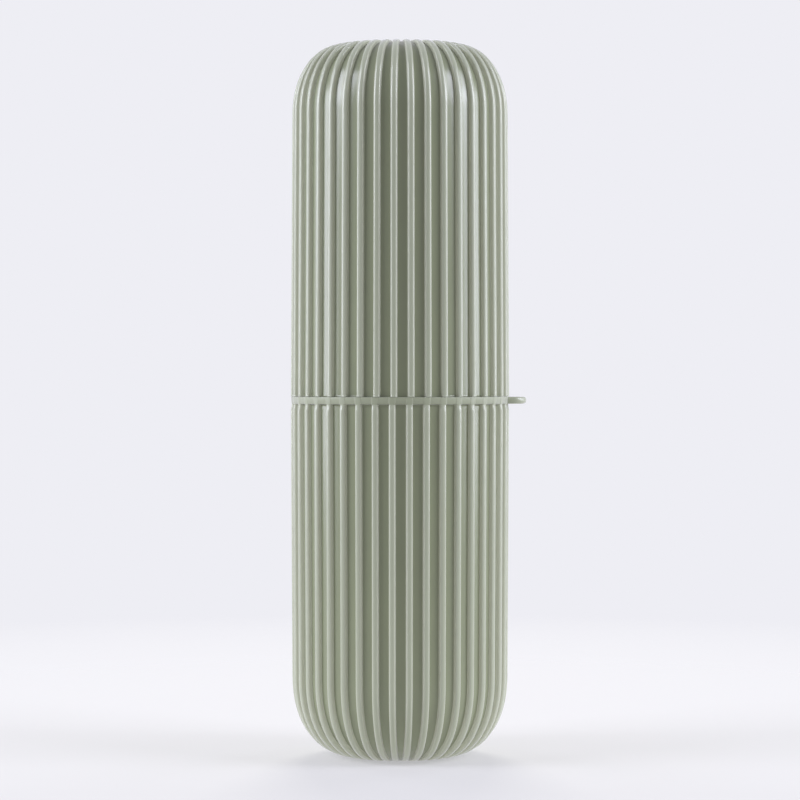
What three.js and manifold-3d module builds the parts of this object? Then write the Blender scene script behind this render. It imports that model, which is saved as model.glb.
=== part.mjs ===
// Toothbrush travel cup: a ribbed cup and a ribbed cover that meet mouth to mouth at a thin flange.
// Millimetres, +Z up. The origin is the centre of the foot, and +X points at the hang tab.

import * as THREE from "three";
import { mergeVertices } from "three/addons/utils/BufferGeometryUtils.js";
import Module from "manifold-3d";

const wasm = await Module();
wasm.setup();

// Cup and cover
const CUP_HEIGHT = 105; // foot to the top of the flange
const COVER_HEIGHT = 102.3; // mouth to the flat top
const MOUTH_RADIUS = 32; // rib crests at both mouths
const WALL = 1.65; // under the grooves
const WALL_DRAFT_DEG = 0.3; // both halves narrow towards their closed ends
const SEAM_GAP = 0.06; // cover mouth above the flange
const COVER_TURN_DEG = -3.05; // as it happens to be put on, so its ribs don't quite meet the cup's

// Rounded closed ends, each a superellipse from the wall to a flat disc
const CUP_END_REACH = 18.75; // inwards from the wall
const CUP_END_RISE = 24.4; // along the axis
const CUP_END_ROUNDING = 2.3; // exponent, where 2 is an ellipse
const CUP_FLOOR = 2.4;
const COVER_END_REACH = 13.3;
const COVER_END_RISE = 20;
const COVER_END_ROUNDING = 2;
const COVER_CEILING = 2.2;
const END_STEPS = 6;

// Ribs run along the wall and over the rounded ends at one width, so the grooves between them close up
const RIB_COUNT = 40;
const RIB_WIDTH = 2.3;
const RIB_HEIGHT = 1.3;
const CUP_RIB_TURN_DEG = 3.8; // from the cup's front to the nearest crest, away from the tab
const GROOVE_ASPECT = 1; // depth over width where a groove is narrow
const GROOVE_LEAST = 0.04; // share of the rib pitch that a closed groove keeps
const RIB_SECTION = [
  { across: -0.5, sunk: 1 },
  { across: -0.4, sunk: 0.15 },
  { across: 0, sunk: 0 },
  { across: 0.4, sunk: 0.15 },
  { across: 0.5, sunk: 1 },
];

// Flange round the cup's mouth, with the hang tab
const FLANGE_THICKNESS = 2.1;
const FLANGE_RECESS = 0.25; // its face under the rib crests
const FLANGE_FILLET = 0.5; // groove to flange
const TAB_REACH = 5.05; // past the rib crests
const TAB_WIDTH = 8.4;
const TAB_ROOT = 1; // depth of the tab's root in the wall
const EYE_RADIUS = 1.25;
const EYE_WALL = 1.15; // outside the eye

// Neck sleeve, pressed into the cup and standing up into the cover
const SLEEVE_WALL = 1.5;
const SLEEVE_STAND = 14; // above the flange
const SLEEVE_SEAT = 14; // below the top of the flange
const SLEEVE_LEAD = 0.8; // chamfer on the top rim and inside the foot
const SLEEVE_CLEARANCE = 0.3; // to the bore of the cover
const SEAT_CLEARANCE = 0.1; // to the bore and the ledge of the cup
const LEDGE_WIDTH = 0.95; // step in the bore that the sleeve stands on

// Grip ring, in a groove round the sleeve
const RING_HEIGHT = 1.6;
const RING_DROP = 6; // below the sleeve's top rim
const RING_DEPTH = 0.7; // of its groove in the sleeve
const RING_CLEARANCE = 0.1; // to the groove and to the bore of the cover
const RING_CROWN = 0.35; // bevel on the outer edges

const ROUND_SEGMENTS = 60;
const TAB_SEGMENTS = 12; // in each arc of the tab
const CUT_OVERRUN = 1; // a cutter starts this far outside what it cuts
const SAME_POINT = 1e-4; // vertices nearer than this are one

const RIB_PITCH = (2 * Math.PI) / RIB_COUNT;
const CLOSED_RADIUS = RIB_WIDTH / RIB_PITCH; // where the ribs touch and the grooves end
const DRAFT = Math.tan(THREE.MathUtils.degToRad(WALL_DRAFT_DEG));
const BORE_RADIUS = MOUTH_RADIUS - RIB_HEIGHT - WALL;

// Solids

function solidFrom(geometry) {
  const bare = geometry.index ? geometry.toNonIndexed() : geometry.clone();
  bare.deleteAttribute("normal");
  bare.deleteAttribute("uv");
  const merged = mergeVertices(bare, SAME_POINT);
  const corners = merged.index.array;
  const triVerts = [];
  for (let i = 0; i < corners.length; i += 3) {
    const [a, b, c] = [corners[i], corners[i + 1], corners[i + 2]];
    // a lathe's quads collapse to a line on its axis
    if (a !== b && b !== c && c !== a) triVerts.push(a, b, c);
  }
  return new wasm.Manifold(
    new wasm.Mesh({
      numProp: 3,
      vertProperties: merged.attributes.position.array,
      triVerts: new Uint32Array(triVerts),
    }),
  );
}

function geometryFrom(solid) {
  const mesh = solid.getMesh();
  const geometry = new THREE.BufferGeometry();
  geometry.setAttribute("position", new THREE.BufferAttribute(mesh.vertProperties, 3));
  geometry.setIndex(new THREE.BufferAttribute(mesh.triVerts, 1));
  geometry.computeVertexNormals();
  return geometry;
}

// A body of revolution about +Z from an outline of (radius, height) points, outer side going up.
function turned(outline, segments = ROUND_SEGMENTS) {
  const points = outline.map(([radius, height]) => new THREE.Vector2(radius, height));
  return new THREE.LatheGeometry(points, segments).rotateX(Math.PI / 2);
}

// Outlines of a half that stands on its open mouth at z = 0, with its closed end up

// Points on a rounded end, from the wall to the flat disc, each with its outward direction.
function roundedEnd({ wallRadius, height, reach, rise, rounding }) {
  const power = 2 / rounding;
  const points = [];
  for (let step = 1; step <= END_STEPS; step++) {
    const angle = (step / END_STEPS) * (Math.PI / 2);
    const out = step === END_STEPS ? 0 : Math.cos(angle) ** power;
    const up = Math.sin(angle) ** power;
    const slope = new THREE.Vector2(
      out ** (rounding - 1) / reach,
      up ** (rounding - 1) / rise,
    ).normalize();
    points.push({
      radius: wallRadius - reach * (1 - out),
      z: height - rise * (1 - up),
      outward: slope,
    });
  }
  return points;
}

function crestRadius(z) {
  return MOUTH_RADIUS - z * DRAFT;
}

// A groove is as deep as the ribs are high, and shallower where the ribs draw together.
function grooveDepth(radius) {
  const width = Math.max(0, radius * RIB_PITCH - RIB_WIDTH);
  return Math.min(RIB_HEIGHT, GROOVE_ASPECT * width);
}

// The crest line of a half, with the depth of the grooves at each of its points.
function crestLine({ height, reach, rise, rounding, flange }) {
  const radial = new THREE.Vector2(1, 0);
  const wallEnd = height - rise;
  const wallStart = flange ? flange + FLANGE_FILLET : 0;
  const line = [];
  if (flange) {
    const flangeRadius = MOUTH_RADIUS - FLANGE_RECESS;
    line.push({ radius: flangeRadius, z: 0, outward: radial, groove: 0 });
    line.push({ radius: flangeRadius, z: flange, outward: radial, groove: 0 });
  }
  for (const z of [wallStart, wallEnd]) {
    line.push({ radius: crestRadius(z), z, outward: radial, groove: RIB_HEIGHT });
  }
  const wallRadius = crestRadius(wallEnd);
  for (const point of roundedEnd({ wallRadius, height, reach, rise, rounding })) {
    line.push({ ...point, groove: grooveDepth(point.radius) });
  }
  const flatEdge = line[line.length - 1];
  if (flatEdge.groove > 0) line.push({ ...flatEdge, radius: CLOSED_RADIUS, groove: 0 });
  return line;
}

// A solid plug with ribs: a lathe of the crest line, with each vertex moved to its place on the rib's section.
function ribbedPlug(half, ribTurnDeg = 0) {
  const line = crestLine(half);
  const ribTurn = THREE.MathUtils.degToRad(ribTurnDeg);
  const outline = [[0, 0], ...line.map(({ radius, z }) => [radius, z]), [0, half.height]];
  const geometry = turned(outline, RIB_COUNT * RIB_SECTION.length);
  const position = geometry.attributes.position;
  const columns = position.count / outline.length;
  for (let column = 0; column < columns; column++) {
    const rib = Math.floor(column / RIB_SECTION.length);
    const { across, sunk } = RIB_SECTION[column % RIB_SECTION.length];
    line.forEach(({ radius, z, outward, groove }, ring) => {
      const ribAngle = Math.min(RIB_WIDTH / radius, (1 - GROOVE_LEAST) * RIB_PITCH);
      const angle = ribTurn + rib * RIB_PITCH + across * ribAngle;
      const inwards = radius - outward.x * groove * sunk;
      const lowered = z - outward.y * groove * sunk;
      const vertex = column * outline.length + ring + 1;
      position.setXYZ(vertex, inwards * Math.sin(angle), -inwards * Math.cos(angle), lowered);
    });
  }
  return solidFrom(geometry);
}

// The hollow of a half: a straight bore for the sleeve, then a wall and a rounded end inside the outer ones.
function hollow({ height, reach, rise, rounding, boreLength, innerRadius, endWall }) {
  const wallEnd = height - rise;
  const wallRadius = innerRadius - (wallEnd - boreLength) * DRAFT;
  const flatRadius = crestRadius(wallEnd) - reach;
  const end = roundedEnd({
    wallRadius,
    height: height - endWall,
    reach: wallRadius - flatRadius,
    rise: rise - endWall,
    rounding,
  });
  const step = innerRadius < BORE_RADIUS ? [[innerRadius, boreLength]] : [];
  return solidFrom(
    turned([
      [0, -CUT_OVERRUN],
      [BORE_RADIUS, -CUT_OVERRUN],
      [BORE_RADIUS, boreLength],
      ...step,
      [wallRadius, wallEnd],
      ...end.map(({ radius, z }) => [radius, z]),
      [0, height - endWall],
    ]),
  );
}

// Pieces

// A flat tab with a round end and an eye, level with the flange.
function hangTab() {
  const halfWidth = TAB_WIDTH / 2;
  const root = MOUTH_RADIUS - RIB_HEIGHT - TAB_ROOT;
  const tip = MOUTH_RADIUS + TAB_REACH;
  const outline = new THREE.Shape();
  outline.moveTo(root, -halfWidth);
  outline.lineTo(tip - halfWidth, -halfWidth);
  outline.absarc(tip - halfWidth, 0, halfWidth, -Math.PI / 2, Math.PI / 2, false);
  outline.lineTo(root, halfWidth);
  outline.closePath();
  const eye = new THREE.Path();
  eye.absarc(tip - EYE_WALL - EYE_RADIUS, 0, EYE_RADIUS, 0, 2 * Math.PI, true);
  outline.holes.push(eye);
  return solidFrom(
    new THREE.ExtrudeGeometry(outline, {
      depth: FLANGE_THICKNESS,
      bevelEnabled: false,
      curveSegments: TAB_SEGMENTS,
    }),
  );
}

function lowerCup() {
  const half = {
    height: CUP_HEIGHT,
    reach: CUP_END_REACH,
    rise: CUP_END_RISE,
    rounding: CUP_END_ROUNDING,
    flange: FLANGE_THICKNESS,
  };
  const inside = hollow({
    ...half,
    boreLength: SLEEVE_SEAT,
    innerRadius: BORE_RADIUS - LEDGE_WIDTH,
    endWall: CUP_FLOOR,
  });
  return geometryFrom(ribbedPlug(half, CUP_RIB_TURN_DEG).add(hangTab()).subtract(inside));
}

function upperCover() {
  const half = {
    height: COVER_HEIGHT,
    reach: COVER_END_REACH,
    rise: COVER_END_RISE,
    rounding: COVER_END_ROUNDING,
    flange: 0,
  };
  const inside = hollow({
    ...half,
    boreLength: SLEEVE_STAND,
    innerRadius: BORE_RADIUS,
    endWall: COVER_CEILING,
  });
  return geometryFrom(ribbedPlug(half).subtract(inside));
}

// Sleeve and ring share z = 0 at the top of the flange.
const SLEEVE_RADIUS = BORE_RADIUS - SLEEVE_CLEARANCE;
const RING_TOP = SLEEVE_STAND - RING_DROP;
const RING_BOTTOM = RING_TOP - RING_HEIGHT;
const GROOVE_FLOOR = SLEEVE_RADIUS - RING_DEPTH;

function neckSleeve() {
  const seat = BORE_RADIUS - SEAT_CLEARANCE;
  const inner = SLEEVE_RADIUS - SLEEVE_WALL;
  const foot = -SLEEVE_SEAT + SEAT_CLEARANCE;
  return turned([
    [inner, foot + SLEEVE_LEAD],
    [inner + SLEEVE_LEAD, foot],
    [seat, foot],
    [seat, -SLEEVE_CLEARANCE],
    [SLEEVE_RADIUS, 0],
    [SLEEVE_RADIUS, RING_BOTTOM - RING_CLEARANCE],
    [GROOVE_FLOOR, RING_BOTTOM - RING_CLEARANCE],
    [GROOVE_FLOOR, RING_TOP + RING_CLEARANCE],
    [SLEEVE_RADIUS, RING_TOP + RING_CLEARANCE],
    [SLEEVE_RADIUS, SLEEVE_STAND - SLEEVE_LEAD],
    [SLEEVE_RADIUS - SLEEVE_LEAD, SLEEVE_STAND],
    [inner, SLEEVE_STAND],
    [inner, foot + SLEEVE_LEAD],
  ]);
}

function gripRing() {
  const inner = GROOVE_FLOOR + RING_CLEARANCE;
  const outer = BORE_RADIUS - RING_CLEARANCE;
  return turned([
    [inner, RING_BOTTOM],
    [outer - RING_CROWN, RING_BOTTOM],
    [outer, RING_BOTTOM + RING_CROWN],
    [outer, RING_TOP - RING_CROWN],
    [outer - RING_CROWN, RING_TOP],
    [inner, RING_TOP],
    [inner, RING_BOTTOM],
  ]);
}

// Assembly

const sagePlastic = new THREE.MeshStandardMaterial({ color: "#a4ab97", roughness: 0.4, metalness: 0 });
const palePlastic = new THREE.MeshStandardMaterial({ color: "#c9cdc0", roughness: 0.45, metalness: 0 });
const greyRubber = new THREE.MeshStandardMaterial({ color: "#7f8676", roughness: 0.7, metalness: 0 });

function piece(name, geometry, material) {
  const mesh = new THREE.Mesh(geometry, material);
  mesh.name = name;
  return mesh;
}

const travelCup = new THREE.Group();

const cup = piece("lower_cup", lowerCup(), sagePlastic);
cup.rotation.x = Math.PI; // mouth up
cup.position.z = CUP_HEIGHT;

const neck = new THREE.Group();
neck.position.z = CUP_HEIGHT;
neck.add(piece("neck_sleeve", neckSleeve(), palePlastic));
neck.add(piece("grip_ring", gripRing(), greyRubber));

const cover = piece("upper_cover", upperCover(), sagePlastic);
cover.rotation.z = THREE.MathUtils.degToRad(COVER_TURN_DEG);
cover.position.z = CUP_HEIGHT + SEAM_GAP;

travelCup.add(cup, neck, cover);

export default travelCup;
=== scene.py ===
"""Dresses the packed toothbrush travel cup.

It makes two ribbed sage halves, a neck liner, a grip band and a pale stage. Everything is in metres
in the packed model's frame: the foot's centre is the origin, +Z is up and +X points at the hang tab.
An angle round the axis is counted from the front, -Y, towards +X.
"""

import math

import bpy
import numpy as np
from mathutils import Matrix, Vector


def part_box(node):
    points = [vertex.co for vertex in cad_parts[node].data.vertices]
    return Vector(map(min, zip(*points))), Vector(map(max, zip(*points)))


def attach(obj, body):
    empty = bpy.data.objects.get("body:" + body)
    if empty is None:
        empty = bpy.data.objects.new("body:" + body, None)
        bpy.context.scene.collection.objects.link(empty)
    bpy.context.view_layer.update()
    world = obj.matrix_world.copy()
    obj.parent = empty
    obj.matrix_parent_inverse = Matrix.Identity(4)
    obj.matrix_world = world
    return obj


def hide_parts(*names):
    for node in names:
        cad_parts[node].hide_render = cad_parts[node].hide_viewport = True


bl_info = {
    "name": "Toothbrush travel cup",
    "version": (1, 0, 0),
    "blender": (4, 5, 0),
    "location": "3D View > Sidebar > Travel Cup",
    "description": "Ribbed travel cup with a lift-off cover, built on its packed frame",
    "category": "Add Mesh",
}

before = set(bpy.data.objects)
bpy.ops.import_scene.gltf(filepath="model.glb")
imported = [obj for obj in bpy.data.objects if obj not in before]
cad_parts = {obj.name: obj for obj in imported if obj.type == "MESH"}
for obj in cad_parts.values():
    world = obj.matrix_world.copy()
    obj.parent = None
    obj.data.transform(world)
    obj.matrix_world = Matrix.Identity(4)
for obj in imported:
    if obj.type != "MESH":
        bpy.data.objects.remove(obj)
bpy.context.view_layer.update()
CUP_LOW, CUP_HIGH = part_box("lower_cup")
COVER_LOW, COVER_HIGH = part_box("upper_cover")
SLEEVE_LOW, SLEEVE_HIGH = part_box("neck_sleeve")
RING_LOW, RING_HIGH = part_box("grip_ring")

IMAGE_PIXELS = 800
SENSOR = 36.0  # millimetres

# Rows and columns of the grids
DISC_ROWS = 6
END_ROWS = 26
INNER_END_ROWS = 12
WALL_ROWS = 6
EDGE_ROWS = 5
FLOOR_ROWS = 12
ROUND_COLUMNS = 192
TAB_COLUMNS = 96
CREST_COLUMNS = 4
EDGE_COLUMNS = 5
CORNER_STEPS = 5
CORNER_REACH = 0.45  # most of a side that a corner's curve may take, as a share
SUPPORT = 0.0004  # metres from an edge to the row that keeps the wall's shading straight
LEAST_GROOVE = 0.06  # share of the rib pitch that a closed groove keeps
LEAST_TURN = 1e-6  # keeps a division off nought
DEPTH_COLUMN = 4  # the grooves' depth, among the values of a profile row

# Shares that the points give to the plastic: they place its painted light and painted shade, and its matt
# faces
FULL_GROOVE = 0.7  # share of the ribs' height from which a groove counts as a whole one
FOOT_SHARE = 0.2  # share of a rib's height over which its paler painted-light colour turns into the groove floor's painted shade
MATT_PAINTED_LIGHT = 0.55  # share of the ribs' paler colour on the matt faces, painted light on the flange and the end discs
MATT_DULLING = 0.25  # added to the roughness of the matt faces

# Plastic, each noise as its scale and its detail
CLOUD_NOISE = (45.0, 3.0)
CLOUD_TINTS = (0.97, 1.03)
GRAIN_NOISE = (3200.0, 2.0)
MARK_NOISE = (1.0, 2.0)
MARK_STRETCH = (1400.0, 1400.0, 25.0)  # fine across and long along the axis
SATIN_SPREAD = 0.04  # of the roughness, to either side
PLASTIC_RELIEF = 0.000004  # metres
PLASTIC_SHEEN = 0.62
PLASTIC_SHEEN_ROUGHNESS = 0.42
PLASTIC_SHEEN_TINT = (0.95, 0.91, 1.0, 1.0)
PLASTIC_IOR = 1.6

# Silicone, each noise as its scale and its detail
SILICONE_NOISE = (4200.0, 3.0)
DUST_NOISE = (900.0, 4.0)
DUST_RANGE = (0.45, 0.8)  # of the noise, from bare to dusty
DUST_TINT = 1.25
SILICONE_SPREAD = 0.08  # of the roughness, to either side
SILICONE_RELIEF = 0.00001  # metres
SILICONE_SHEEN = 0.15
SILICONE_IOR = 1.41

# Stage, with lengths in metres
FLOOR_GAP = 0.00003  # under the foot
FLOOR_RADIUS = 0.45
FLOOR_HUB = 0.02  # share of the radius inside the first ring
FLOOR_SOLID = 0.08  # from the axis
FLOOR_EVENNESS = 0.47  # share of the floor that shows the backdrop's colour whatever the light
FLOOR_GLOW = 1.4  # times that even share, in what the floor gives back to the cup
KEY_SIZE = (0.42, 0.56)  # a lamp's width and height
WALL_SIZE = (0.42, 0.44)
RIM_SIZE = (0.3, 0.86)
BACK_SIZE = (0.4, 0.3)

MIX_COLOUR_INPUTS = (0, 6, 7)  # factor and the two colours, among a mix node's inputs
MIX_COLOUR_OUTPUT = 2


def length(name, description, default):
    """A property that holds a length in metres."""
    return bpy.props.FloatProperty(
        name=name, description=description, default=default, unit="LENGTH", precision=5
    )


def angle(name, description, degrees):
    """A property that holds an angle."""
    return bpy.props.FloatProperty(
        name=name, description=description, default=math.radians(degrees), subtype="ANGLE"
    )


def colour(name, description, default):
    """A property that holds a linear colour."""
    return bpy.props.FloatVectorProperty(
        name=name, description=description, default=default, subtype="COLOR", min=0, max=1
    )


def share(name, description, default):
    """A property that holds a share from 0 to 1."""
    return bpy.props.FloatProperty(
        name=name, description=description, default=default, subtype="FACTOR", min=0, max=1
    )


def number(name, description, default):
    """A property that holds a plain number."""
    return bpy.props.FloatProperty(name=name, description=description, default=default)


class TravelCupRibs(bpy.types.PropertyGroup):
    """The ribs that both halves share."""

    count: bpy.props.IntProperty(name="Ribs", description="Ribs round each half", default=40, min=12)
    width: length("Crest width", "Across a rib's crest, over its rounded edges", 0.00182)
    height: length("Height", "Crest above the groove's floor", 0.0013)
    edge: length("Edge radius", "Rounding along a crest's two edges", 0.0006)
    foot: length("Foot radius", "Fillet between a rib's side and the groove's floor", 0.0002)
    slope: angle("Side slope", "Lean of a rib's sides, for the mould", 4)
    crown: angle("Crown", "Slope of the crest where it meets its edges", 18)
    closing: length("Closing pitch", "Rib pitch at which the grooves have closed up", 0.0021)
    aspect: number("Groove aspect", "Depth over what the pitch has left past closing", 1.1)
    cup_turn: angle("Cup turn", "From the front to the cup's nearest crest", -4.05)
    cover_turn: angle("Cover turn", "From the front to the cover's nearest crest", -3.15)


class TravelCupShell(bpy.types.PropertyGroup):
    """The walls of the two halves."""

    mouth_radius: length("Mouth radius", "Rib crests at both mouths", 0.032)
    draft: angle("Draft", "Both halves narrow towards their closed ends", 0.3)
    bore: length("Bore radius", "Inside both mouths", 0.02905)
    ledge: length("Ledge", "Step in the cup's bore that the liner stands on", 0.00095)
    cup_reach: length("Cup end reach", "Rounded end, inwards from the wall", 0.01875)
    cup_rise: length("Cup end rise", "Rounded end, along the axis", 0.0244)
    cup_rounding: number("Cup end rounding", "Exponent of the rounded end, where 2 is an ellipse", 2.3)
    cup_floor: length("Cup floor", "Thickness of the cup's closed end", 0.0024)
    cover_reach: length("Cover end reach", "Rounded end, inwards from the wall", 0.0133)
    cover_rise: length("Cover end rise", "Rounded end, along the axis", 0.02)
    cover_rounding: number("Cover end rounding", "Exponent of the rounded end, where 2 is an ellipse", 2)
    cover_ceiling: length("Cover ceiling", "Thickness of the cover's closed end", 0.0022)
    rim: length("Rim radius", "Rounding of the mouths' edges", 0.0003)
    cover_rim: length("Cover rim radius", "Rounding of the cover's outer edge at its mouth", 0.00006)
    flange: length("Flange", "Thickness of the ring round the cup's mouth", 0.0021)
    flange_recess: length("Flange recess", "The flange's face under the rib crests", 0.00012)
    flange_relief: length("Flange relief", "Depth that the grooves keep on the flange's face", 0.0001)
    flange_lean: angle("Flange lean", "Lean of the flange's face, inwards to its lower edge", 4)
    flange_rim: length("Flange rim radius", "Rounding of the flange's top edge", 0.0001)
    flange_fillet: length("Flange fillet", "Rounding where the grooves meet the flange", 0.00015)
    flange_fade: length("Flange fade", "Length over which the crests sink to the flange's face", 0.002)
    tab_width: length("Tab width", "Across the hang tab", 0.0084)
    tab_drop: length("Tab drop", "The hang tab's top under the flange's", 0.00006)
    tab_edge: length("Tab edge", "Rounding of the hang tab's edges", 0.0008)
    eye_radius: length("Eye radius", "Hole through the hang tab", 0.00125)
    eye_wall: length("Eye wall", "Outside the hole", 0.00115)


class TravelCupNeck(bpy.types.PropertyGroup):
    """The liner in the neck and the band that grips the cover."""

    clearance: length("Clearance", "Liner to the cover's bore", 0.0003)
    seat_clearance: length("Seat clearance", "Liner to the cup's bore", 0.0001)
    wall: length("Liner wall", "Thickness of the liner", 0.0015)
    groove: length("Band groove", "Depth of the band's groove in the liner", 0.0007)
    band_clearance: length("Band clearance", "Band to its groove and to the cover's bore", 0.0001)
    lead: length("Lead", "Slope on the liner's top rim and inside its foot", 0.0008)
    softness: length("Edge softness", "Rounding of the edges", 0.0004)
    lip: length("Lip", "Height of the two lips round the band", 0.0004)


class TravelCupFinish(bpy.types.PropertyGroup):
    """Colours and gloss of the materials."""

    # Painted shade: sage is darker than the plastic's own colour and shows on the groove floors. Faces
    # without ribs, such as the insides, show it too.
    sage: colour("Sage", "Moulded plastic of both halves", (0.23, 0.256, 0.15))
    # Painted light: the ribs and the hang tab take this colour, paler than the groove floors, standing in
    # for light soaking through the thin plastic.
    sage_rib_painted_light: colour(
        "Sage ribs", "The same plastic in the thin ribs, which light soaks through", (0.39, 0.42, 0.30)
    )
    # Painted light: paler still, on the ribs' steep sides, standing in for light soaking through them.
    sage_side_painted_light: colour(
        "Sage rib sides",
        "The same plastic in the ribs' sides, where most light soaks through",
        (0.60, 0.62, 0.49),
    )
    sage_roughness: share("Sage roughness", "Satin of both halves", 0.23)
    pale: colour("Pale", "Moulded plastic of the neck liner", (0.58, 0.61, 0.53))
    pale_roughness: share("Pale roughness", "Polish of the neck liner", 0.34)
    band: colour("Band", "Soft band round the neck", (0.21, 0.24, 0.18))
    band_roughness: share("Band roughness", "Matt of the soft band", 0.62)


class TravelCupStage(bpy.types.PropertyGroup):
    """Camera, lamps and background."""

    camera_distance: length("Camera distance", "From the cup's axis", 0.762)
    camera_height: length("Camera height", "Above the surface that the cup stands on", 0.1097)
    aim_height: length("Aim height", "Where the view's centre meets the axis", 0.10397)
    aim_across: length("Aim across", "Where the view's centre passes the axis", 0.00002)
    focal_pixels: number("Focal length", "In pixels of the picture", 2599)
    backdrop: colour("Backdrop", "Behind the cup", (0.855, 0.855, 0.905))
    floor: colour("Floor", "Under the cup", (0.605, 0.595, 0.57))
    ambient: number("Ambient", "Strength of the light from all round", 0.24)
    lamp_distance: length("Lamp distance", "From the axis to each lamp", 0.8)
    lamp_tint: colour("Lamp tint", "Colour of the lamps", (0.85, 0.86, 1.0))
    key_turn: angle("Key turn", "From the front to each key lamp", 70)
    key_height: length("Key height", "Key lamps above the floor", 0.55)
    key_power: number("Key power", "Watts of each key lamp", 5.6)
    wall_turn: angle("Wall turn", "From the front to each broad side lamp", 88)
    wall_height: length("Wall height", "Broad side lamps above the floor", 0.26)
    wall_power: number("Wall power", "Watts of each broad side lamp", 3.2)
    rim_turn: angle("Rim turn", "From the front to each lamp behind", 135)
    rim_height: length("Rim height", "Lamps behind above the floor", 0.33)
    rim_power: number("Rim power", "Watts of each lamp behind", 2.6)
    back_height: length("Back height", "Lamp behind the cup above the floor", 0.6)
    back_power: number("Back power", "Watts of the lamp behind the cup", 7.2)
    back_tint: colour("Back tint", "Colour of the lamp behind the cup", (1.0, 0.99, 0.94))


# Surfaces


def skin(grid, poles=(), loop_rows=False):
    """Points and faces of a grid of points, rows by columns by 3, whose columns close round.

    The rows stay open, close on themselves, or end in the two points in poles.
    """
    rows, columns = grid.shape[:2]
    index = np.arange(rows * columns).reshape(rows, columns)
    here = index if loop_rows else index[:-1]
    there = np.roll(index, -1, axis=0) if loop_rows else index[1:]
    quads = np.stack([here, np.roll(here, -1, 1), np.roll(there, -1, 1), there], -1).reshape(-1, 4)
    points = grid.reshape(-1, 3)
    triangles = np.empty((0, 3), int)
    if len(poles):
        first, last = len(points), len(points) + 1
        points = np.vstack([points, poles])
        start = np.stack([np.full(columns, first), np.roll(index[0], -1), index[0]], -1)
        end = np.stack([np.full(columns, last), index[-1], np.roll(index[-1], -1)], -1)
        triangles = np.vstack([start, end])
    fan = np.vstack([quads[:, [0, 1, 2]], quads[:, [0, 2, 3]], triangles])
    a, b, c = points[fan].transpose(1, 0, 2)
    if np.einsum("ij,ij->", a, np.cross(b, c)) < 0:
        quads, triangles = quads[:, ::-1], triangles[:, ::-1]
    return points, quads, triangles


def piece(name, skins, body, node, material, shares=None):
    """A smooth mesh object of one or more closed skins that rides on a body in place of a CAD node.

    Shares gives named values of the points, in the order of the skins, for the material. Points that it
    leaves out have nought.
    """
    points, faces, start = [], [], 0
    for skin_points, quads, triangles in skins:
        points.append(skin_points)
        faces += (quads + start).tolist() + (triangles + start).tolist()
        start += len(skin_points)
    mesh = bpy.data.meshes.new(name)
    mesh.from_pydata(np.vstack(points).tolist(), [], faces)
    mesh.polygons.foreach_set("use_smooth", np.ones(len(mesh.polygons), bool))
    for key, values in (shares or {}).items():
        padded = np.zeros(start, np.float32)
        padded[: len(values)] = values
        mesh.attributes.new(key, "FLOAT", "POINT").data.foreach_set("value", padded)
    mesh.materials.append(material)
    mesh.update()
    made = bpy.data.objects.new(name, mesh)
    bpy.context.scene.collection.objects.link(made)
    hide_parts(node)
    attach(made, body)


def turned(outline, columns):
    """A grid of revolution: a closed outline of (radius, height) points carried round the axis."""
    around = np.linspace(0, 2 * np.pi, columns, endpoint=False)[None]
    radius, height = outline[:, :1], outline[:, 1:]
    return np.stack(
        [radius * np.sin(around), -radius * np.cos(around), height + 0 * around], -1
    )


def softened(outline, radius, closed=True):
    """An outline with each corner replaced by a parabola that leaves its two sides at the radius.

    An open outline keeps its two ends.
    """
    corner = np.asarray(outline, float)
    before = np.roll(corner, 1, 0) - corner
    after = np.roll(corner, -1, 0) - corner

    def leave(side):
        size = np.linalg.norm(side, axis=1, keepdims=True)
        return corner + side / size * np.minimum(radius, CORNER_REACH * size)

    t = np.linspace(0, 1, CORNER_STEPS)[None, :, None]
    start, middle, end = leave(before)[:, None], corner[:, None], leave(after)[:, None]
    curve = (1 - t) ** 2 * start + 2 * t * (1 - t) * middle + t**2 * end
    if closed:
        return curve.reshape(-1, 2)
    return np.vstack([corner[:1], curve[1:-1].reshape(-1, 2), corner[-1:]])


# Profiles


def stations(radius, height, lean_out=1.0, lean_up=0.0, depth=0.0, matt=0.0):
    """Profile rows from numbers or arrays of one length.

    A row is the radius, the height, the direction that grooves sink against as its parts outwards and
    upwards, the grooves' depth, and how matt it is; a matt row also takes part of the ribs' painted light.
    """
    columns = (radius, height, lean_out, lean_up, depth, matt)
    return np.stack(np.broadcast_arrays(*map(np.atleast_1d, columns)), 1)


def eased(t):
    """A smooth step: 3 t^2 - 2 t^3."""
    return t * t * (3 - 2 * t)


def rounded_end(wall_radius, height, reach, rise, power, rows):
    """A quarter of a superellipse from the flat disc out to the wall, with its outward direction.

    Its points are reach * cos(a)^(2/power) out of the disc and rise * sin(a)^(2/power) up the axis.
    """
    a = np.linspace(np.pi / 2, 0, rows)
    out = np.abs(np.cos(a)) ** (2 / power)
    up = np.sin(a) ** (2 / power)
    slope = np.stack([out ** (power - 1) / reach, up ** (power - 1) / rise])
    slope /= np.linalg.norm(slope, axis=0)
    return stations(wall_radius - reach * (1 - out), height - rise * (1 - up), *slope)


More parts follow.
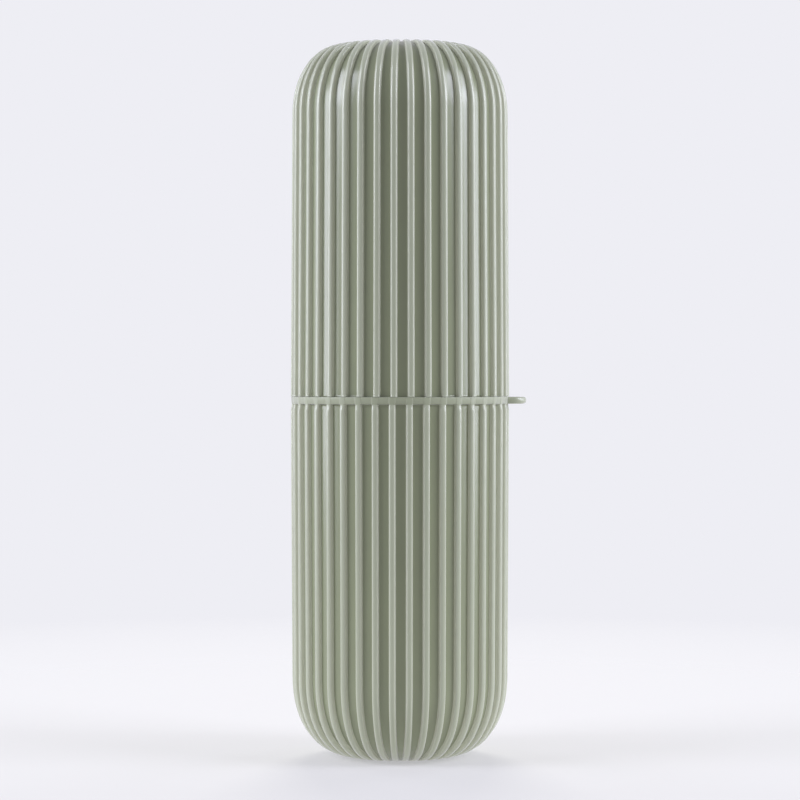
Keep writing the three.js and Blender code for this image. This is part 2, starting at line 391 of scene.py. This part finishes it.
def rib_section(ribs):
    """One rib from groove centre to groove centre, as arrays over its columns.

    Half a section is a crowned crest, a round edge, a leaning side, a fillet and the groove's floor. It
    gives each column's distance from the rib's centre line, its share of the stretch over the floor, its
    share of the groove's depth, and how steep it is, as the squared sine of its slope. The last value is
    where the floor starts.
    """
    lean = math.pi / 2 - ribs.slope
    crest = ribs.width / 2 - ribs.edge * (math.sin(lean) - math.sin(ribs.crown))
    fall = crest * math.tan(ribs.crown) / 2
    edge_fall = ribs.edge * (math.cos(ribs.crown) - math.cos(lean))
    foot_rise = ribs.foot * (1 - math.cos(lean))
    side = ribs.height - fall - edge_fall - foot_rise
    floor = ribs.width / 2 + side * math.tan(ribs.slope) + ribs.foot * math.sin(lean)
    flat = np.linspace(0, 1, CREST_COLUMNS)[:-1]
    bend = np.linspace(ribs.crown, lean, EDGE_COLUMNS)
    fillet = np.linspace(lean, 0, EDGE_COLUMNS)
    across = np.concatenate([
        crest * flat,
        crest + ribs.edge * (np.sin(bend) - math.sin(ribs.crown)),
        floor - ribs.foot * np.sin(fillet),
        [floor],
    ])
    sunk = np.concatenate([
        fall * flat**2,
        fall + ribs.edge * (math.cos(ribs.crown) - np.cos(bend)),
        ribs.height - ribs.foot * (1 - np.cos(fillet)),
        [ribs.height],
    ]) / ribs.height
    steep = np.concatenate([0 * flat, np.sin(bend) ** 2, np.sin(fillet) ** 2, [0.0]])
    stretch = np.append(np.zeros(len(across) - 1), 0.5)
    mirror = slice(None, 0, -1)
    return (
        np.concatenate([[-floor], -across[mirror], across]),
        np.concatenate([[-1.0], -stretch[mirror], stretch]),
        np.concatenate([[1.0], sunk[mirror], sunk]),
        np.concatenate([[0.0], steep[mirror], steep]),
        floor,
    )


def groove_depth(radius, ribs):
    """Depth of the grooves, which ends where the ribs draw together and close them.

    It is the aspect times what the rib pitch has left past closing, from nought to the ribs' height.
    """
    width = 2 * np.pi * radius / ribs.count - ribs.closing
    return np.clip(ribs.aspect * width, 0, ribs.height)


def half_profile(
    ribs, shell, height, reach, rise, rounding, end_wall, bore_length, inner_radius, flange
):
    """Profile of a half that stands on its mouth at height 0.

    It runs from the top of the closed end down the outside, round the mouth and up the inside to the
    closed end again. A flange, where there is one, rings the mouth. The wall's radius is the mouth's less
    the height times the tangent of the draft.
    """
    draft = math.tan(shell.draft)
    wall_end = height - rise
    wall_radius = shell.mouth_radius - wall_end * draft
    flat = wall_radius - reach

    disc_radius = np.linspace(0, flat, DISC_ROWS + 1)[1:-1]
    disc = stations(disc_radius, height, 0.0, 1.0, groove_depth(disc_radius, ribs), matt=1.0)
    end = rounded_end(wall_radius, height, reach, rise, rounding, END_ROWS)
    end[:, DEPTH_COLUMN] = groove_depth(end[:, 0], ribs)

    edge = shell.rim
    outer_edge = shell.flange_rim if flange else shell.cover_rim
    wall_foot = flange + shell.flange_fade if flange else outer_edge
    wall_z = np.append(np.linspace(wall_end, wall_foot + SUPPORT, WALL_ROWS + 1)[1:], wall_foot)
    wall = stations(shell.mouth_radius - wall_z * draft, wall_z, depth=ribs.height)
    rows = [disc, end, wall]
    rim_radius, rim_depth, rim_lean = shell.mouth_radius, ribs.height, draft
    if flange:
        rim_lean = math.tan(shell.flange_lean)
        low = flange + shell.flange_fillet
        recess = shell.flange_recess + low * rim_lean
        t = np.linspace(0, 1, EDGE_ROWS)[1:]
        sunk = recess * eased(t)
        fade = wall_foot + (low - wall_foot) * t
        rows.append(stations(rim_radius - sunk, fade, depth=ribs.height - sunk))
        t = np.linspace(0, 1, 2 * EDGE_ROWS)[1:]
        swell = eased(t)
        under = low - 2 * shell.flange_fillet * t
        depth = (ribs.height - recess) * (1 - swell) + shell.flange_relief * swell
        face = shell.flange_recess + under * rim_lean
        rows.append(stations(rim_radius - face, under, depth=depth, matt=swell))
        rim_radius, rim_depth = rim_radius - shell.flange_recess, shell.flange_relief

    bend = np.linspace(0, np.pi / 2, EDGE_ROWS)
    round_out, round_up = outer_edge * (1 - np.cos(bend)), outer_edge * (1 - np.sin(bend))
    rim = rim_radius - round_up * rim_lean - round_out
    rows.append(stations(rim, round_up, depth=rim_depth, matt=bool(flange)))
    rows.append(stations(shell.bore + edge * (1 - np.sin(bend)), edge * (1 - np.cos(bend))))

    inner_wall = inner_radius - (wall_end - bore_length) * draft
    ledge = [(inner_radius, bore_length)] if inner_radius < shell.bore else []
    inside = [(shell.bore, edge), (shell.bore, bore_length), *ledge, (inner_wall, wall_end)]
    rows.append(stations(*softened(inside, edge, closed=False)[1:-1].T))
    inner_end = rounded_end(
        inner_wall, height - end_wall, inner_wall - flat, rise - end_wall, rounding, INNER_END_ROWS
    )
    rows.append(inner_end[::-1])
    rows.append(stations(disc_radius[::-2], height - end_wall))
    return np.vstack(rows)


def with_poles(values):
    """A grid's values in one row, then those of its two poles, which are like the rows next to them."""
    return np.append(values.ravel(), [values[0, 0], values[-1, 0]])


def ribbed(profile, ribs, turn, mouth, way):
    """A half's skin, and its points' shares of a full rib, of a rib's steep sides and of the matt faces,
    which set where its painted light and painted shade fall.

    Each profile row goes round the axis over every rib's section. A rib keeps its width, so its columns
    lie at its own distances from the centre line and the floor's columns fill what is left of the pitch.
    Height runs from the mouth, upwards where way is 1 and downwards where it is -1.
    """
    across, stretch, sunk, steep, floor = rib_section(ribs)
    radius, height, lean_out, lean_up, depth, matt = profile.T[:, :, None]
    half_pitch = np.pi * radius / ribs.count
    squeeze = np.minimum(1, (1 - LEAST_GROOVE) * half_pitch / floor)
    offset = squeeze * across + stretch * (half_pitch - squeeze * floor)
    centre = turn + np.arange(ribs.count) * 2 * np.pi / ribs.count
    around = (centre[None, :, None] + (offset / radius)[:, None, :]).reshape(len(profile), -1)
    sink = np.tile(sunk, ribs.count)[None] * depth
    out = radius - lean_out * sink
    up = mouth + way * (height - lean_up * sink)
    grid = np.stack([out * np.sin(around), -out * np.cos(around), up], -1)
    poles = [(0, 0, mouth + way * profile[0, 1]), (0, 0, mouth + way * profile[-1, 1])]
    # Painted light and shade: raised points over deep grooves take the ribs' paler colour, steep sides the
    # paler side colour, matt faces part of the ribs' colour; the rest keeps the groove floors' painted
    # shade.
    raised = np.minimum(1, (1 - np.tile(sunk, ribs.count)[None]) / FOOT_SHARE)
    grooved = np.minimum(1, depth / (FULL_GROOVE * ribs.height))
    side = np.tile(steep, ribs.count)[None] * grooved
    return skin(grid, poles), {
        "rib": with_poles(np.maximum(raised * grooved, MATT_PAINTED_LIGHT * matt)),
        "side": with_poles(side),
        "matt": with_poles(matt + 0 * sink),
    }


def hang_tab(shell):
    """The hang tab as a ring round its eye.

    Each column leaves the eye at its own angle and meets the outline, a straight strip with a half-round
    tip. Its rows go over the top, round the outer edge, back underneath and up the eye's wall.
    """
    half_width = shell.tab_width / 2
    top, low = CUP_HIGH.z - shell.tab_drop, CUP_HIGH.z - shell.flange
    tip_centre = CUP_HIGH.x - half_width
    eye = CUP_HIGH.x - shell.eye_wall - shell.eye_radius
    root = shell.bore + shell.eye_wall
    a = np.linspace(0, 2 * np.pi, TAB_COLUMNS, endpoint=False)
    behind = tip_centre - eye
    tip = behind * np.cos(a) + np.sqrt(half_width**2 - (behind * np.sin(a)) ** 2)
    side = half_width / np.maximum(np.abs(np.sin(a)), LEAST_TURN)
    back = (root - eye) / np.minimum(np.cos(a), -LEAST_TURN)
    outline = np.where(tip * np.cos(a) >= behind, tip, np.minimum(side, back))

    bend = np.linspace(0, np.pi / 2, EDGE_ROWS)
    soft, edge = shell.rim, shell.tab_edge
    outer = edge * (np.sin(bend) - 1)
    inner = soft * (1 - np.sin(bend))
    from_outline = np.concatenate([outer, outer[::-1]])
    outline_z = np.concatenate([top - edge * (1 - np.cos(bend)), low + edge * (1 - np.cos(bend[::-1]))])
    from_eye = np.concatenate([inner, inner[::-1]])
    eye_z = np.concatenate([low + soft * (1 - np.cos(bend)), top - soft * (1 - np.cos(bend[::-1]))])
    reach = np.vstack(
        [outline[None] + from_outline[:, None], shell.eye_radius + from_eye[:, None] + 0 * a]
    )
    z = np.concatenate([outline_z, eye_z])[:, None] + 0 * a
    return skin(np.stack([eye + reach * np.cos(a), reach * np.sin(a), z], -1), loop_rows=True)


def liner_outline(neck, shell):
    """The neck liner's closed section.

    It is a thin wall, wider where it is pressed into the cup, with the band's groove.
    """
    seat = shell.bore - neck.seat_clearance
    outer = shell.bore - neck.clearance
    inner = outer - neck.wall
    foot, mouth, top = SLEEVE_LOW.z, CUP_HIGH.z, SLEEVE_HIGH.z
    groove_low, groove_high = RING_LOW.z - neck.band_clearance, RING_HIGH.z + neck.band_clearance
    corners = [
        (inner, foot + neck.lead),
        (inner + neck.lead, foot),
        (seat, foot),
        (seat, mouth - neck.clearance),
        (outer, mouth),
        (outer, groove_low),
        (outer - neck.groove, groove_low),
        (outer - neck.groove, groove_high),
        (outer, groove_high),
        (outer, top - neck.lead),
        (outer - neck.lead, top),
        (inner, top),
    ]
    return softened(corners, neck.softness)


def band_outline(neck, shell):
    """The grip band's closed section: flat inside, with two round lips outside and a hollow between."""
    outer = shell.bore - neck.band_clearance
    inner = shell.bore - neck.clearance - neck.groove + neck.band_clearance
    low, high = RING_LOW.z, RING_HIGH.z
    quarter = (high - low) / 4
    corners = [
        (inner, low),
        (outer - neck.lip, low),
        (outer, low + quarter),
        (outer - neck.lip, low + 2 * quarter),
        (outer, high - quarter),
        (outer - neck.lip, high),
        (inner, high),
    ]
    return softened(corners, neck.softness)


# Materials


class Nodes:
    """A short way to add and join the nodes of one material or world."""

    def __init__(self, owner):
        owner.use_nodes = True
        self.tree = owner.node_tree
        self.tree.nodes.clear()

    def put(self, socket, value):
        """Joins a socket to another, or sets its value."""
        if isinstance(value, bpy.types.NodeSocket):
            self.tree.links.new(value, socket)
        else:
            socket.default_value = value

    def add(self, kind, inputs=None, **settings):
        """A node with its settings and inputs, each input a socket or a value."""
        node = self.tree.nodes.new(kind)
        for key, value in settings.items():
            setattr(node, key, value)
        for key, value in (inputs or {}).items():
            self.put(node.inputs[key], value)
        return node

    def place(self, scale=(1.0, 1.0, 1.0)):
        """Object coordinates, stretched by a scale."""
        coordinates = self.add("ShaderNodeTexCoord").outputs["Object"]
        return self.add("ShaderNodeMapping", {"Vector": coordinates, "Scale": scale}).outputs["Vector"]

    def noise(self, vector, scale, detail):
        """Soft noise over a vector."""
        made = self.add("ShaderNodeTexNoise", {"Vector": vector, "Scale": scale, "Detail": detail})
        return made.outputs["Fac"]

    def share(self, name):
        """A named value of the mesh's points."""
        return self.add("ShaderNodeAttribute", attribute_name=name).outputs["Fac"]

    def spread(self, value, low, high, start=0.3, end=0.7):
        """Takes a value from the range start to end, at first most of a noise's, to low to high."""
        inputs = {"Value": value, "From Min": start, "From Max": end, "To Min": low, "To Max": high}
        return self.add("ShaderNodeMapRange", inputs).outputs["Result"]

    def math(self, operation, first, second):
        """A sum, product or other operation on two values."""
        return self.add("ShaderNodeMath", {0: first, 1: second}, operation=operation).outputs[0]

    def mix(self, factor, first, second):
        """A mix of two colours."""
        inputs = dict(zip(MIX_COLOUR_INPUTS, (factor, first, second)))
        return self.add("ShaderNodeMix", inputs, data_type="RGBA").outputs[MIX_COLOUR_OUTPUT]

    def bump(self, height, depth, normal=None):
        """Shading relief of a depth in metres, over an earlier relief where there is one."""
        inputs = {"Height": height, "Strength": 1.0, "Distance": depth}
        if normal:
            inputs["Normal"] = normal
        return self.add("ShaderNodeBump", inputs).outputs["Normal"]

    def surface(self, shader):
        """Joins a shader to the output."""
        self.add("ShaderNodeOutputMaterial", {"Surface": shader.outputs[0]})


def tint(base, factor):
    """A colour made lighter or darker, with alpha."""
    return (*[min(1.0, channel * factor) for channel in base], 1.0)


def moulded_plastic(name, base, rib_painted_light, side_painted_light, roughness):
    """Satin moulded plastic with painted light: ribs and their sides paler than the base colour, which is
    painted shade in the groove floors.

    It has faint clouding, a fine mould grain and draw marks along the axis. Matt faces are rougher.
    """
    material = bpy.data.materials.get(name)
    if material:
        return material
    material = bpy.data.materials.new(name)
    nodes = Nodes(material)
    place = nodes.place()
    cloud = nodes.noise(place, *CLOUD_NOISE)
    grain = nodes.noise(place, *GRAIN_NOISE)
    marks = nodes.noise(nodes.place(MARK_STRETCH), *MARK_NOISE)
    darker, lighter = (tint(base, factor) for factor in CLOUD_TINTS)
    clouded = nodes.mix(nodes.spread(cloud, 0.0, 1.0), darker, lighter)
    # Painted light: the ribs and then their sides take paler colours than the base.
    painted_light_colour = nodes.mix(nodes.share("rib"), clouded, tint(rib_painted_light, 1.0))
    painted_light_colour = nodes.mix(nodes.share("side"), painted_light_colour, tint(side_painted_light, 1.0))
    satin = nodes.spread(marks, roughness - SATIN_SPREAD, roughness + SATIN_SPREAD)
    dulled = nodes.math("ADD", satin, nodes.math("MULTIPLY", nodes.share("matt"), MATT_DULLING))
    normal = nodes.bump(marks, PLASTIC_RELIEF, nodes.bump(grain, PLASTIC_RELIEF))
    nodes.surface(
        nodes.add(
            "ShaderNodeBsdfPrincipled",
            {
                "Base Color": painted_light_colour,
                "Roughness": dulled,
                "Normal": normal,
                "Sheen Weight": PLASTIC_SHEEN,
                "Sheen Roughness": PLASTIC_SHEEN_ROUGHNESS,
                "Sheen Tint": PLASTIC_SHEEN_TINT,
                "IOR": PLASTIC_IOR,
            },
        )
    )
    return material


def sage_satin(finish):
    """The plastic that both halves share."""
    return moulded_plastic(
        "sage_satin", finish.sage, finish.sage_rib_painted_light, finish.sage_side_painted_light, finish.sage_roughness
    )


def soft_silicone(name, base, roughness):
    """Matt silicone: a fine even grain with dust caught in it, and a dull sheen."""
    material = bpy.data.materials.new(name)
    nodes = Nodes(material)
    place = nodes.place()
    grain = nodes.noise(place, *SILICONE_NOISE)
    dust = nodes.noise(place, *DUST_NOISE)
    dusty = nodes.spread(dust, 0.0, 1.0, *DUST_RANGE)
    dusted = nodes.mix(dusty, tint(base, 1.0), tint(base, DUST_TINT))
    matt = nodes.spread(grain, roughness - SILICONE_SPREAD, roughness + SILICONE_SPREAD)
    nodes.surface(
        nodes.add(
            "ShaderNodeBsdfPrincipled",
            {
                "Base Color": dusted,
                "Roughness": matt,
                "Normal": nodes.bump(grain, SILICONE_RELIEF),
                "Sheen Weight": SILICONE_SHEEN,
                "IOR": SILICONE_IOR,
            },
        )
    )
    return material


# Stage


def stage_floor(colour_here, backdrop):
    """A flat disc on a polar grid, solid under the cup and clear at its rim to run into the backdrop."""
    reach = np.linspace(FLOOR_HUB, 1, FLOOR_ROWS)[:, None] * FLOOR_RADIUS
    around = np.linspace(0, 2 * np.pi, ROUND_COLUMNS, endpoint=False)[None]
    grid = np.stack([reach * np.cos(around), reach * np.sin(around), 0 * reach * around - FLOOR_GAP], -1)
    rows, columns = grid.shape[:2]
    index = np.arange(rows * columns).reshape(rows, columns)
    here, there = index[:-1], index[1:]
    quads = np.stack([here, there, np.roll(there, -1, 1), np.roll(here, -1, 1)], -1).reshape(-1, 4)
    mesh = bpy.data.meshes.new("stage_floor")
    mesh.from_pydata(grid.reshape(-1, 3).tolist(), [], [index[0].tolist(), *quads.tolist()])
    mesh.update()

    material = bpy.data.materials.new("stage_floor")
    nodes = Nodes(material)
    distance = nodes.add("ShaderNodeVectorMath", {0: nodes.place()}, operation="LENGTH").outputs["Value"]
    solid = nodes.spread(distance, 1.0, 0.0, FLOOR_SOLID, FLOOR_RADIUS)
    lit = nodes.add("ShaderNodeBsdfDiffuse", {"Color": tint(colour_here, 1.0)})
    seen = nodes.add("ShaderNodeLightPath").outputs["Is Camera Ray"]
    glow = nodes.spread(seen, FLOOR_GLOW, 1.0, 0.0, 1.0)
    even = nodes.add("ShaderNodeEmission", {"Color": tint(backdrop, 1.0), "Strength": glow})
    shown = nodes.add(
        "ShaderNodeMixShader",
        {0: FLOOR_EVENNESS, 1: lit.outputs[0], 2: even.outputs[0]},
    )
    clear = nodes.add("ShaderNodeBsdfTransparent")
    nodes.surface(
        nodes.add("ShaderNodeMixShader", {0: solid, 1: clear.outputs[0], 2: shown.outputs[0]})
    )
    mesh.materials.append(material)
    floor = bpy.data.objects.new("stage_floor", mesh)
    bpy.context.scene.collection.objects.link(floor)
    return floor


def stage_world(backdrop, ambient):
    """Shows the backdrop to the camera and to reflections, and gives weaker light from all round."""
    world = bpy.data.worlds.new("stage_world")
    bpy.context.scene.world = world
    nodes = Nodes(world)
    path = nodes.add("ShaderNodeLightPath").outputs
    mirrored = nodes.math("MAXIMUM", path["Is Glossy Ray"], path["Is Transmission Ray"])
    seen = nodes.math("MAXIMUM", path["Is Camera Ray"], mirrored)
    strength = nodes.spread(seen, ambient, 1.0, 0.0, 1.0)
    light = nodes.add("ShaderNodeBackground", {"Color": tint(backdrop, 1.0), "Strength": strength})
    nodes.add("ShaderNodeOutputWorld", {"Surface": light.outputs[0]})


def softbox(name, distance, turn, height, size, watts, tint_here, mirrored=True):
    """A rectangular lamp that faces the cup's middle. Gloss shows it only where mirrored is set."""
    lamp = bpy.data.lights.new(name, "AREA")
    lamp.shape = "RECTANGLE"
    lamp.size, lamp.size_y = size
    lamp.energy = watts
    lamp.color = tint_here
    made = bpy.data.objects.new(name, lamp)
    made.location = (distance * math.sin(turn), -distance * math.cos(turn), height)
    middle = Vector((0, 0, CUP_HIGH.z))
    made.rotation_euler = (middle - made.location).to_track_quat("-Z", "Y").to_euler()
    made.visible_camera = False
    made.visible_glossy = mirrored
    bpy.context.scene.collection.objects.link(made)
    return made


def softbox_pair(name, distance, turn, *rest):
    """Two lamps that face the cup's middle from the left and the right."""
    softbox(f"{name}_left", distance, -turn, *rest)
    softbox(f"{name}_right", distance, turn, *rest)


def stage_camera(stage):
    """A camera a little above the flange, turned slightly down, that sees the whole cup from the front."""
    camera = bpy.data.cameras.new("stage_camera")
    camera.sensor_width = SENSOR
    camera.lens = stage.focal_pixels * SENSOR / IMAGE_PIXELS
    made = bpy.data.objects.new("stage_camera", camera)
    made.location = (stage.aim_across, -stage.camera_distance, stage.camera_height)
    aim = Vector((stage.aim_across, 0, stage.aim_height))
    made.rotation_euler = (aim - made.location).to_track_quat("-Z", "Y").to_euler()
    bpy.context.scene.collection.objects.link(made)
    bpy.context.scene.camera = made


# Operators


class TRAVEL_CUP_OT_lower_cup(bpy.types.Operator):
    """Builds the ribbed cup with its flange and hang tab"""

    bl_idname = "travel_cup.lower_cup"
    bl_label = "Lower cup"

    def execute(self, context):
        ribs, shell = context.scene.travel_cup_ribs, context.scene.travel_cup_shell
        neck, finish = context.scene.travel_cup_neck, context.scene.travel_cup_finish
        profile = half_profile(
            ribs,
            shell,
            height=CUP_HIGH.z - CUP_LOW.z,
            reach=shell.cup_reach,
            rise=shell.cup_rise,
            rounding=shell.cup_rounding,
            end_wall=shell.cup_floor,
            bore_length=CUP_HIGH.z - SLEEVE_LOW.z + neck.seat_clearance,
            inner_radius=shell.bore - shell.ledge,
            flange=shell.flange,
        )
        body, shares = ribbed(profile, ribs, ribs.cup_turn, CUP_HIGH.z, -1)
        material = sage_satin(finish)
        tab = hang_tab(shell)
        # Painted light: the hang tab takes the ribs' paler colour all over.
        shares["rib"] = np.append(shares["rib"], np.ones(len(tab[0])))
        piece("cup_body", [body, tab], "cup", "lower_cup", material, shares)
        return {"FINISHED"}


class TRAVEL_CUP_OT_upper_cover(bpy.types.Operator):
    """Builds the ribbed cover that lifts off and doubles as a rinse cup"""

    bl_idname = "travel_cup.upper_cover"
    bl_label = "Upper cover"

    def execute(self, context):
        ribs, shell = context.scene.travel_cup_ribs, context.scene.travel_cup_shell
        finish = context.scene.travel_cup_finish
        profile = half_profile(
            ribs,
            shell,
            height=COVER_HIGH.z - COVER_LOW.z,
            reach=shell.cover_reach,
            rise=shell.cover_rise,
            rounding=shell.cover_rounding,
            end_wall=shell.cover_ceiling,
            bore_length=SLEEVE_HIGH.z - CUP_HIGH.z,
            inner_radius=shell.bore,
            flange=0,
        )
        body, shares = ribbed(profile, ribs, ribs.cover_turn, COVER_LOW.z, 1)
        material = sage_satin(finish)
        piece("cover_body", [body], "cover", "upper_cover", material, shares)
        return {"FINISHED"}


class TRAVEL_CUP_OT_neck_liner(bpy.types.Operator):
    """Builds the smooth liner that holds the two halves in line"""

    bl_idname = "travel_cup.neck_liner"
    bl_label = "Neck liner"

    def execute(self, context):
        neck, shell = context.scene.travel_cup_neck, context.scene.travel_cup_shell
        finish = context.scene.travel_cup_finish
        pale = finish.pale
        material = moulded_plastic("pale_satin", pale, pale, pale, finish.pale_roughness)
        liner = skin(turned(liner_outline(neck, shell), ROUND_COLUMNS), loop_rows=True)
        piece("neck_liner", [liner], "cup", "neck_sleeve", material)
        return {"FINISHED"}


class TRAVEL_CUP_OT_grip_band(bpy.types.Operator):
    """Builds the soft band that holds the cover by friction"""

    bl_idname = "travel_cup.grip_band"
    bl_label = "Grip band"

    def execute(self, context):
        neck, shell = context.scene.travel_cup_neck, context.scene.travel_cup_shell
        finish = context.scene.travel_cup_finish
        material = soft_silicone("soft_band", finish.band, finish.band_roughness)
        band = skin(turned(band_outline(neck, shell), ROUND_COLUMNS), loop_rows=True)
        piece("grip_band", [band], "grip", "grip_ring", material)
        return {"FINISHED"}


class TRAVEL_CUP_OT_stage(bpy.types.Operator):
    """Sets up the floor, the lamps, the background and the camera"""

    bl_idname = "travel_cup.stage"
    bl_label = "Stage"

    def execute(self, context):
        stage = context.scene.travel_cup_stage
        context.scene.view_settings.view_transform = "Standard"
        floor = stage_floor(stage.floor, stage.backdrop)
        stage_world(stage.backdrop, stage.ambient)
        far, hue = stage.lamp_distance, stage.lamp_tint
        softbox_pair("key", far, stage.key_turn, stage.key_height, KEY_SIZE, stage.key_power, hue)
        softbox_pair("wall", far, stage.wall_turn, stage.wall_height, WALL_SIZE, stage.wall_power, hue)
        softbox_pair("rim", far, stage.rim_turn, stage.rim_height, RIM_SIZE, stage.rim_power, hue, False)
        back = softbox(
            "back", far, math.pi, stage.back_height, BACK_SIZE, stage.back_power, stage.back_tint, False
        )
        lit_from_behind = bpy.data.collections.new("lit_from_behind")
        lit_from_behind.objects.link(floor)
        back.light_linking.receiver_collection = lit_from_behind
        stage_camera(stage)
        return {"FINISHED"}


class TRAVEL_CUP_PT_panel(bpy.types.Panel):
    """Sizes, finishes and builders of the travel cup"""

    bl_idname = "TRAVEL_CUP_PT_panel"
    bl_label = "Travel cup"
    bl_space_type = "VIEW_3D"
    bl_region_type = "UI"
    bl_category = "Travel Cup"

    def draw(self, context):
        for operator in OPERATORS:
            self.layout.operator(operator.bl_idname)
        for key, group in GROUPS.items():
            box = self.layout.box()
            box.label(text=group.__doc__)
            for name in group.__annotations__:
                box.prop(getattr(context.scene, key), name)


OPERATORS = (
    TRAVEL_CUP_OT_lower_cup,
    TRAVEL_CUP_OT_neck_liner,
    TRAVEL_CUP_OT_grip_band,
    TRAVEL_CUP_OT_upper_cover,
    TRAVEL_CUP_OT_stage,
)
GROUPS = {
    "travel_cup_ribs": TravelCupRibs,
    "travel_cup_shell": TravelCupShell,
    "travel_cup_neck": TravelCupNeck,
    "travel_cup_finish": TravelCupFinish,
    "travel_cup_stage": TravelCupStage,
}


def register():
    """Adds the classes and hangs the property groups on the scene."""
    for item in (*GROUPS.values(), *OPERATORS, TRAVEL_CUP_PT_panel):
        bpy.utils.register_class(item)
    for key, group in GROUPS.items():
        setattr(bpy.types.Scene, key, bpy.props.PointerProperty(type=group))


def unregister():
    """Takes away what register added."""
    for key in GROUPS:
        delattr(bpy.types.Scene, key)
    for item in (TRAVEL_CUP_PT_panel, *reversed(OPERATORS), *reversed(GROUPS.values())):
        bpy.utils.unregister_class(item)


def main():
    register()
    bpy.ops.travel_cup.lower_cup()
    bpy.ops.travel_cup.neck_liner()
    bpy.ops.travel_cup.grip_band()
    bpy.ops.travel_cup.upper_cover()
    bpy.ops.travel_cup.stage()


if __name__ == "__main__":
    main()
